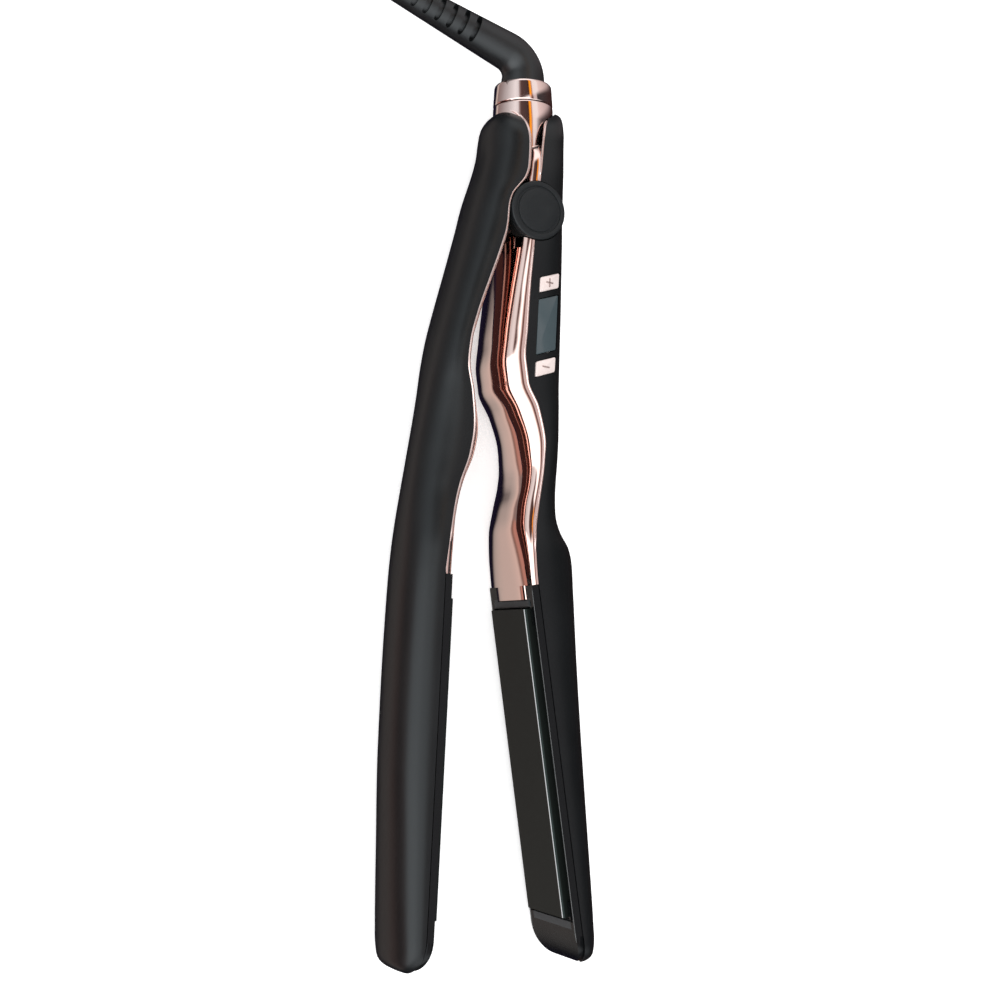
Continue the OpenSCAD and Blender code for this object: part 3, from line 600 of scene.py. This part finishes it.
lathe("fixed_collar_smooth", collar, flatted_point, gold_collar, body="control_arm",
      replaced=["fixed_collar"], slot="rose_gold")
BOOT_R = 7.8
ring = [(5.2, COLLAR_TOP + 0.25), (COLLAR_R - 0.42, COLLAR_TOP + 0.25),
        (COLLAR_R - 0.2, COLLAR_TOP + 0.31), (COLLAR_R - 0.04, COLLAR_TOP + 0.5),
        (COLLAR_R, COLLAR_TOP + 0.8), (COLLAR_R - 0.4, RING_TOP - 1),
        (COLLAR_R - 0.52, RING_TOP - 0.45), (COLLAR_R - 0.8, RING_TOP - 0.12),
        (COLLAR_R - 1.15, RING_TOP), (BOOT_R + 0.25, RING_TOP), (BOOT_R + 0.05, RING_TOP - 0.2),
        (BOOT_R + 0.05, COLLAR_TOP + 2.6), (5.2, COLLAR_TOP + 2.6)]
lathe("swivel_ring_smooth", ring, collar_point, gold_collar, body="cord_swivel",
      replaced=["swivel_ring"], slot="rose_gold")

# painted shade: a dark sleeve that hides the gap between a cap and its pocket and stands in for the
# shade down in it
GAP_IN, GAP_OUT, GAP_LOW, GAP_HIGH = CAP_R + 0.02, CAP_R + 0.27, 10.4, 13.5


def on_hinge(side):
    """Placing about the hinge axis, on the upper (1) or the lower (-1) side."""
    return lambda r, a, z: Vector((r * math.cos(a), side * r * math.sin(a), MID + side * z)) * MM


for side, node in ((1, "upper_hinge_cap"), (-1, "lower_hinge_cap")):
    low, top = MID - CAP_T, MID
    prof = [(0.001, low + 2.6), (4.7, low + 2.6), (4.7, low), (CAP_R, low), (CAP_R, top - 0.7),
            (CAP_R - 0.1, top - 0.32), (CAP_R - 0.35, top - 0.08), (CAP_R - 0.75, top),
            (8.4, top), (8.25, top - 0.06), (8.12, top - 0.4), (7.5, top - 0.4), (7.36, top - 0.08),
            (7.2, top - 0.02), (4, top - 0.12), (0.001, top - 0.16)]
    lathe(node + "_turned", prof, on_hinge(side), cap_black, body="control_arm", replaced=[node],
          slot="cap_black", close=False)
    lathe(node + "_gap", [(GAP_OUT, GAP_LOW), (GAP_OUT, GAP_HIGH), (GAP_IN, GAP_HIGH),
                          (GAP_IN, GAP_LOW)],
          on_hinge(side), painted_gap_shade, body="control_arm", slot="cap_black")

# ---------------------------------------------------------------- boot

BEND = math.radians(70)
REACH, ELBOW = 54.0, 56.8
END_DIR = COLLAR_AXIS * math.cos(BEND) - COLLAR_SIDE * math.sin(BEND)
ELBOW_AT = CENTRE + COLLAR_AXIS * ELBOW * MM
END_R, SHOULDER_R = 4.3, 6.7
TAPER = REACH * MM * 0.93
SIDES = 72
SLOTS, SLOT_PITCH, SLOT_END = 7, 4.6, 5.2


def boot_path():
    """Points along the boot's middle line, with a rounded bend."""
    start = CENTRE + COLLAR_AXIS * (COLLAR_TOP + 2.7) * MM
    end = ELBOW_AT + END_DIR * REACH * MM
    radius = 9.5 * MM
    lead = radius * math.tan(BEND / 2)
    a, b = ELBOW_AT - COLLAR_AXIS * lead, ELBOW_AT + END_DIR * lead
    pts = [start.lerp(a, k / 6) for k in range(6)]
    middle = a - COLLAR_SIDE * radius
    for k in range(19):
        t = BEND * k / 18
        pts.append(middle + radius * (COLLAR_SIDE * math.cos(t) + COLLAR_AXIS * math.sin(t)))
    pts += [b.lerp(end, k / 40) for k in range(1, 41)]
    return pts


def boot_radius(s, length):
    """Radius in mm at s along the boot's middle line, which is as long as length."""
    if length - s < TAPER:
        return END_R + (SHOULDER_R - END_R) * (length - s) / TAPER
    t = min(1, (length - TAPER - s) / (length - TAPER))
    return SHOULDER_R + (BOOT_R - SHOULDER_R) * (t * t * (3 - 2 * t)) ** 0.7


path = boot_path()
total = [0.0]
for p, q in zip(path, path[1:]):
    total.append(total[-1] + (q - p).length)
rows = []
for i, p in enumerate(path):
    d = (path[min(i + 1, len(path) - 1)] - path[max(i - 1, 0)]).normalized()
    rows.append((p, d, boot_radius(total[i], total[-1]) * MM))
# the end's rounded edge, and the bore that goes back into it
end, d, r = rows.pop()
for back, shrink in ((0.5, 0.0), (0.15, 0.12), (0.0, 0.45)):
    rows.append((end - d * back * MM, d, r - shrink * MM))
rows += [(end, d, 3.5 * MM), (end - d * 12 * MM, d, 3.4 * MM)]
verts = []
for p, d, r in rows:
    side = UP.cross(d).normalized()
    for k in range(SIDES):
        a = 2 * math.pi * k / SIDES
        verts.append(p + r * (math.cos(a) * side + math.sin(a) * UP))
faces = tube_faces(len(rows), SIDES)
boot = obj_from("strain_relief_boot_smooth", verts, faces, boot_black, 40)


def slot_cutter(along, side):
    """A curved slot over one half of the boot, leaving a core, with rounded ends."""
    at = ELBOW_AT + END_DIR * along * MM
    across = UP.cross(END_DIR).normalized()
    n, core, out, width = 22, 3.75, 8.0, 1.9
    verts = []
    for k in range(n + 1):
        a = math.radians(-64 + 128 * k / n) + (0 if side > 0 else math.pi)
        w = width * math.sqrt(max(0.02, 1 - (abs(k - n / 2) / (n / 2)) ** 6))
        radial = across * math.sin(a) + UP * math.cos(a)
        for r, e in ((core, -w / 2), (out, -w / 2), (out, w / 2), (core, w / 2)):
            verts.append(at + radial * r * MM + END_DIR * e * MM)
    return obj_from("cutter", verts, tube_faces(n + 1, 4), boot_black)


# the slots of the two sides are half a pitch apart
cut(boot, [slot_cutter(REACH - SLOT_END - (i + (0 if s > 0 else 0.5)) * SLOT_PITCH, s)
           for i in range(SLOTS) for s in (-1, 1)], 40)
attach(boot, "cord_swivel")
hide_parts("strain_relief_boot")

# ---------------------------------------------------------------- buttons and window

MARK_LONG, MARK_THIN = 1.5, 0.28  # half sizes of a bar of the plus and the minus


def mark(at, a, b):
    """Outline of a bar with half sizes a along the handle and b across it."""
    return [(at - a, -b), (at + a, -b), (at + a, b), (at - a, b)]


for name, s in (("upper_button", -1), ("lower_button", 1)):
    prism(slanted(BUTTON[0], BUTTON[1], s * PITCH, 0.8), -1.8, 0.2, on_controls, name + "_face",
          button_gold, bevel=0.3, angle=40, body=name, replaced=[name], slot="pale_rose_gold")
    prism(mark(s * PITCH, MARK_THIN, MARK_LONG), 0.1, 0.3, on_controls, name + "_bar", glyph_tone,
          bevel=0.06, body=name, slot="pale_rose_gold")
    if s < 0:
        prism(mark(s * PITCH, MARK_LONG, MARK_THIN), 0.1, 0.3, on_controls, name + "_cross",
              glyph_tone, bevel=0.06, body=name, slot="pale_rose_gold")
prism(slanted(WINDOW[0], WINDOW[1], 0, 0.5), -2.5, -0.1, on_controls, "display_glass", glass_slate,
      bevel=0.15, angle=40, body="control_arm", replaced=["display_window"], slot="display_glass")

# ---------------------------------------------------------------- rims along the seams


RIM_R, RIM_CLEAR, LIFT_REACH = 0.5, 11.0, 9


def off_collar(p, turns):
    """Moves a point that is too near the collar's axis straight out from it."""
    for a in turns:
        turn = Matrix.Rotation(math.radians(a), 4, "Z")
        q = turn.inverted() @ p - CENTRE
        z = q.dot(COLLAR_AXIS)
        out = q - COLLAR_AXIS * z
        if z > RECESS_LOW * MM and out.length < RIM_CLEAR * MM:
            p = turn @ (CENTRE + COLLAR_AXIS * z + out.normalized() * RIM_CLEAR * MM)
    return p


def rim(name, seam, x0, x1, place, body, head, lift=0.0):
    """A rose-gold bead under an outer shell's edge on both sides, lifted past the hinge cap."""
    xs = steps(x0, x1, 1.2, (0, 0.2, 0.5, 0.9, 1.5, 2.4))
    n = 10
    for side in (-1, 1):
        verts = []
        for x in xs:
            clear = lift * max(0.0, 1 - (x / LIFT_REACH) ** 2)
            q = (RIM_R - 0.3 * clear) * rounding(min(x - x0, x1 - x), 1.5, 0.05)
            y = curve(seam, x) - 0.3 + clear
            h = min(curve(HALF_WIDTHS, x) * rounding(x - head, HEAD_CORNER, 0.05) - 0.15,
                    MID - 0.05 - q)
            for k in range(n):
                a = 2 * math.pi * k / n
                verts.append(off_collar(place(x, y - q * math.cos(a), side * (h + q * math.sin(a))),
                                        (0, -OPEN) if body == "plain_arm" else (0,)))
        obj_from(name + ("_low" if side < 0 else "_high"), verts, tube_faces(len(xs), n), gold_rim,
                 60, body=body, slot="rose_gold")


rim("plain_rim", PLAIN_SEAM, PLAIN_HEAD + 1, CARRIER_X - 0.1, on_plain, "plain_arm", PLAIN_HEAD,
    0.5)
rim("control_head_rim", CONTROL_SEAM, -32, -12, on_control, "control_arm", CONTROL_HEAD)
rim("control_rim", CONTROL_SEAM, 12, CARRIER_X - 0.1, on_control, "control_arm", CONTROL_HEAD)

# ---------------------------------------------------------------- polished bevels of the plates


def bevel_strip(name, place, body):
    """A thin polished line along each of the plate's long edges, a hair proud of the coating."""
    edge = 12.0
    for side in (-1, 1):
        section = [(0.03, edge - 0.03), (0.05, edge + 0.1), (0.25, edge + 0.27), (0.4, edge + 0.1)]
        verts = [place(x, y, side * z)
                 for x in (PLATE_X0 + 0.1, PLATE_X1 - 0.1) for y, z in section]
        faces = [(0, 1, 5, 4), (1, 2, 6, 5), (2, 3, 7, 6), (3, 0, 4, 7), (0, 3, 2, 1), (4, 5, 6, 7)]
        obj_from(name + ("_low" if side < 0 else "_high"), verts, faces, plate_edge, 20, body=body,
                 slot="plate_coating")


def rim_bead(name, place, body):
    """The moulded bead that runs along each side of a carrier's rim."""
    n, r, parts = 8, 0.3, 60
    middle_y, middle_z = 2.42, 15.45
    xs = [CARRIER_X + 0.2 + (TIP - 9 - CARRIER_X) * k / parts for k in range(parts + 1)]
    for side in (-1, 1):
        verts = []
        for x in xs:
            q = r * rounding(min(x - xs[0], xs[-1] - x), 2.5, 0.05)
            for k in range(n):
                a = 2 * math.pi * k / n
                verts.append(place(x, middle_y - q * math.cos(a),
                                   side * (middle_z + q * math.sin(a))))
        obj_from(name + ("_low" if side < 0 else "_high"), verts, tube_faces(len(xs), n),
                 bright_line, 60, body=body, slot="carrier_black")


# ---------------------------------------------------------------- cushions behind the plates

CUSHION_LOW, CUSHION_HIGH = 5.61, 8.75
CUSHION_INSET = 18  # from a cushion's middle to the plate's end


def cushions(arm, place):
    """Two silicone rings that the plate's clamp squeezes against the carrier's floor."""
    low, high = CUSHION_LOW, CUSHION_HIGH
    profile = [(1.6, low + 0.15), (1.75, low), (3.6, low), (3.88, low + 0.12), (4.0, low + 0.4),
               (3.8, (low + high) / 2), (4.0, high - 0.4), (3.88, high - 0.12), (3.6, high),
               (1.75, high), (1.6, high - 0.15)]
    along = place(0, 1, 0) - place(0, 0, 0)
    for end, x in (("rear", PLATE_X0 + CUSHION_INSET), ("front", PLATE_X1 - CUSHION_INSET)):
        pad = lathe(arm + "_cushion_" + end, profile,
                    lambda r, a, z: place(x + r * math.cos(a), z, r * math.sin(a)), silicone, 48,
                    body=arm + "_arm", replaced=[arm + "_plate_cushions"], slot="silicone")
        tuple(place(x, high, 0))
        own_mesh(pad)


cushions("control", on_control)
cushions("plain", on_plain)

rim_bead("control_carrier_bead", on_control, "control_arm")
rim_bead("plain_carrier_bead", on_plain, "plain_arm")
bevel_strip("control_plate_bevel", on_control, "control_plate_unit")
bevel_strip("plain_plate_bevel", on_plain, "plain_plate_unit")

# ---------------------------------------------------------------- CAD nodes that stay


def finish_node(name, mat, width=0.0):
    """Gives a CAD node its material, and rounds its edges where width is set."""
    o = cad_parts[name]
    for i in range(max(1, len(o.material_slots))):
        if not o.material_slots:
            o.data.materials.append(mat)
        o.material_slots[i].link = "OBJECT"
        o.material_slots[i].material = mat
    if width:
        weld = o.modifiers.new("weld", "WELD")
        weld.merge_threshold = 1e-6
        edge = o.modifiers.new("edges", "BEVEL")
        edge.width = width * MM
        edge.segments = 2
        edge.limit_method = "ANGLE"
        edge.angle_limit = math.radians(38)


REAR_BAR, FRONT_BAR, BAR_HALF = (129.9, 1.6), (235.9, 1.3), 13.2


def maths(tree, op, *values):
    """A math node on values, each a number or a socket."""
    n = tree.nodes.new("ShaderNodeMath")
    n.operation = op
    for k, v in enumerate(values):
        if isinstance(v, (int, float)):
            n.inputs[k].default_value = v
        else:
            tree.links.new(v, n.inputs[k])
    return n.outputs[0]


def barred(name, turn):
    """Glossy black with satin bars across the arm just before and just past the plate."""
    m = mottled(material(name, (0.004, 0.0045, 0.005), 0.2, spec=0.28, tint=COOL),
                (0.0035, 0.004, 0.0045), (0.005, 0.0055, 0.006), 90, 0.18, 0.26, grain=2000,
                depth=0.000003, amount=0.08)
    t = m.node_tree
    bsdf = t.nodes["Principled BSDF"]
    co = t.nodes.new("ShaderNodeTexCoord")
    rot = t.nodes.new("ShaderNodeMapping")
    rot.inputs["Rotation"].default_value = (0, 0, turn)
    t.links.new(co.outputs["Object"], rot.inputs["Vector"])
    parts = t.nodes.new("ShaderNodeSeparateXYZ")
    t.links.new(rot.outputs["Vector"], parts.inputs["Vector"])
    rear, front = [maths(t, "COMPARE", parts.outputs["X"], middle * MM, half * MM)
                   for middle, half in (REAR_BAR, FRONT_BAR)]
    across = maths(t, "COMPARE", parts.outputs["Z"], MID * MM, BAR_HALF * MM)
    mask = maths(t, "MULTIPLY", maths(t, "MAXIMUM", rear, front), across)
    for socket, value in (("Base Color", (0.05, 0.055, 0.058, 1)), ("Roughness", 0.42)):
        mix = t.nodes.new("ShaderNodeMix")
        mix.data_type = "RGBA" if socket == "Base Color" else "FLOAT"
        ins = [i for i in mix.inputs if i.enabled]
        outs = [o for o in mix.outputs if o.enabled]
        t.links.new(mask, ins[0])
        t.links.new(bsdf.inputs[socket].links[0].from_socket, ins[1])
        ins[2].default_value = value
        t.links.new(outs[0], bsdf.inputs[socket])
    return m


for arm, turn in (("control", 0), ("plain", math.radians(OPEN))):
    finish_node(arm + "_plate_carrier", barred(arm + "_carrier", turn), 0.12)
    finish_node(arm + "_plate", plate_coat)
    finish_node(arm + "_heater", ceramic)
    finish_node(arm + "_heater_clamp", aluminium)
    finish_node(arm + "_hinge_bracket", dark_steel)
    finish_node(arm + "_shell_screws", steel)
    finish_node(arm + "_leads", lead_sleeve)
finish_node("control_thermistor", board_green)
finish_node("plain_thermal_fuse", steel)
finish_node("circuit_board", board_green)
finish_node("display_module", nylon)
finish_node("button_switches", cap_black)
finish_node("hinge_pin", steel)
finish_node("hinge_clip", steel)
finish_node("hinge_washers", nylon)
finish_node("hinge_spring", steel)
finish_node("swivel_spindle", nylon)
finish_node("swivel_washer", nylon)

# ---------------------------------------------------------------- floor, lights and world

floor_mat = mottled(material("floor", (0.86, 0.86, 0.86), 0.7), (0.86, 0.86, 0.86),
                    (0.875, 0.875, 0.875), 3, 0.65, 0.75)
floor_bsdf = floor_mat.node_tree.nodes["Principled BSDF"]
floor_bsdf.inputs["Emission Color"].default_value = (1, 1, 1, 1)
floor_bsdf.inputs["Emission Strength"].default_value = 0.5
floor = obj_from("floor", [(-3, -3, -0.0006), (3, -3, -0.0006), (3, 3, -0.0006), (-3, 3, -0.0006)],
                 [(0, 1, 2, 3)], floor_mat)
floor.visible_glossy = False


def area(name, at, target, size, power):
    d = bpy.data.lights.new(name, "AREA")
    d.shape = "RECTANGLE"
    d.size, d.size_y = size
    d.energy = power
    o = bpy.data.objects.new(name, d)
    bpy.context.scene.collection.objects.link(o)
    o.location = at
    o.rotation_mode = "QUATERNION"
    o.rotation_quaternion = (Vector(target) - Vector(at)).to_track_quat("-Z", "Y")
    o.visible_glossy = False


area("key", (0.10, -0.7, 1.3), (0.1, -0.02, 0.0), (1.2, 0.6), 8)
area("fill", (0.10, 0.7, 1.3), (0.1, 0.0, 0.0), (1.6, 0.8), 8)

# The world is even for soft light and white to the camera. Reflections see a dark room with a long
# softbox overhead, in bands by the angle about X from level at -Y (0) to straight up (90).
world = bpy.data.worlds.new("studio")
bpy.context.scene.world = world
world.use_nodes = True
wt = world.node_tree
back = wt.nodes["Background"]
coords = wt.nodes.new("ShaderNodeTexCoord")
split = wt.nodes.new("ShaderNodeSeparateXYZ")
wt.links.new(coords.outputs["Generated"], split.inputs["Vector"])
angle = maths(wt, "ARCTAN2", split.outputs["Z"], maths(wt, "MULTIPLY", split.outputs["Y"], -1))
part = maths(wt, "ADD", maths(wt, "DIVIDE", angle, 2 * math.pi), 0.5)
BANDS = [(-180, (0.05, 0.03, 0.03)), (-150, (0.04, 0.02, 0.02)), (-112, (0.05, 0.025, 0.025)),
         (-104, (0.012, 0.01, 0.03)), (-73.5, (0.006, 0.005, 0.014)), (-69, (0.38, 0.36, 0.34)),
         (-65, (0.5, 0.46, 0.43)), (-59, (0.7, 0.58, 0.53)), (-56, (0.2, 0.12, 0.1)),
         (-52, (0.5, 0.27, 0.22)), (-45, (0.5, 0.24, 0.2)), (-40, (0.07, 0.03, 0.028)),
         (-24, (0.04, 0.018, 0.016)), (-18, (0.5, 0.24, 0.2)), (-8, (0.55, 0.28, 0.24)),
         (-3, (0.12, 0.05, 0.045)), (2, (2.4, 2.4, 2.4)), (50, (2.4, 2.4, 2.4)),
         (60, (1.7, 1.7, 1.7)), (88, (1.7, 1.7, 1.7)),
         (95, (0.75, 0.7, 0.68)), (100, (0.22, 0.1, 0.08)), (105, (0.1, 0.045, 0.04)),
         (108, (0.68, 0.6, 0.6)), (119, (0.68, 0.6, 0.6)), (123, (0.05, 0.05, 0.055)),
         (180, (0.05, 0.03, 0.03))]
# what the cord end reflects, towards -X
END_BANDS = [(-180, (0.5, 0.42, 0.42)), (-150, (0.1, 0.08, 0.09)), (-104, (0.012, 0.01, 0.03)),
             (-73.5, (0.006, 0.005, 0.014)), (-69, (0.38, 0.36, 0.34)),
             (-65, (0.5, 0.46, 0.43)), (-59, (0.7, 0.58, 0.53)), (-55, (0.26, 0.2, 0.19)),
             (-30, (0.34, 0.31, 0.31)), (0, (0.55, 0.55, 0.56)), (36, (0.9, 0.93, 0.95)),
             (48, (0.8, 0.82, 0.84)), (54, (0.32, 0.25, 0.24)), (60, (0.1, 0.06, 0.055)),
             (84, (0.07, 0.045, 0.042)), (91, (0.03, 0.015, 0.02)), (94, (1.2, 0.45, 0.02)),
             (99, (1.2, 0.45, 0.02)), (102, (0.4, 0.2, 0.14)), (106, (0.95, 0.95, 0.95)),
             (125, (0.98, 0.97, 0.97)), (132, (0.85, 0.75, 0.73)), (180, (0.5, 0.42, 0.42))]
# what is reflected from along the iron's length, which is plain
FAR_BANDS = [(-180, (0.05, 0.05, 0.055)), (-30, (0.06, 0.06, 0.065)), (10, (0.5, 0.5, 0.51)),
             (60, (1.3, 1.3, 1.3)), (120, (1.3, 1.3, 1.3)), (170, (0.5, 0.5, 0.51)),
             (180, (0.05, 0.05, 0.055))]


def band_ramp(stops):
    """The colours of a list of bands, by the angle about X."""
    r = wt.nodes.new("ShaderNodeValToRGB")
    while len(r.color_ramp.elements) < len(stops):
        r.color_ramp.elements.new(0.5)
    for e, (deg, c) in zip(r.color_ramp.elements, stops):
        e.position = (deg + 180) / 360
        e.color = (*c, 1)
    wt.links.new(part, r.inputs["Fac"])
    return r.outputs["Color"]


def mixed(fac, first, second):
    """Two colours mixed by fac. Each is a socket or a tuple."""
    n = wt.nodes.new("ShaderNodeMixRGB")
    wt.links.new(fac, n.inputs["Fac"])
    for socket, v in (("Color1", first), ("Color2", second)):
        if isinstance(v, tuple):
            n.inputs[socket].default_value = (*v, 1)
        else:
            wt.links.new(v, n.inputs[socket])
    return n.outputs["Color"]


def eased(value, start, stop):
    """A smooth step from 0 to 1 as value goes from start to stop."""
    n = wt.nodes.new("ShaderNodeMapRange")
    n.interpolation_type = "SMOOTHSTEP"
    n.inputs["From Min"].default_value = start
    n.inputs["From Max"].default_value = stop
    wt.links.new(value, n.inputs["Value"])
    return n.outputs["Result"]


x = split.outputs["X"]
room = mixed(eased(x, -0.25, -0.34), band_ramp(BANDS), band_ramp(END_BANDS))
room = mixed(eased(maths(wt, "ABSOLUTE", x), 0.7, 0.85), room, band_ramp(FAR_BANDS))
light_path = wt.nodes.new("ShaderNodeLightPath")
room = mixed(light_path.outputs["Is Glossy Ray"], (0.78, 0.78, 0.78), room)
room = mixed(light_path.outputs["Is Camera Ray"], room, (1, 1, 1))
wt.links.new(room, back.inputs["Color"])
back.inputs["Strength"].default_value = 1.0

bpy.context.scene.view_settings.view_transform = "Standard"
bpy.context.scene.view_settings.look = "None"
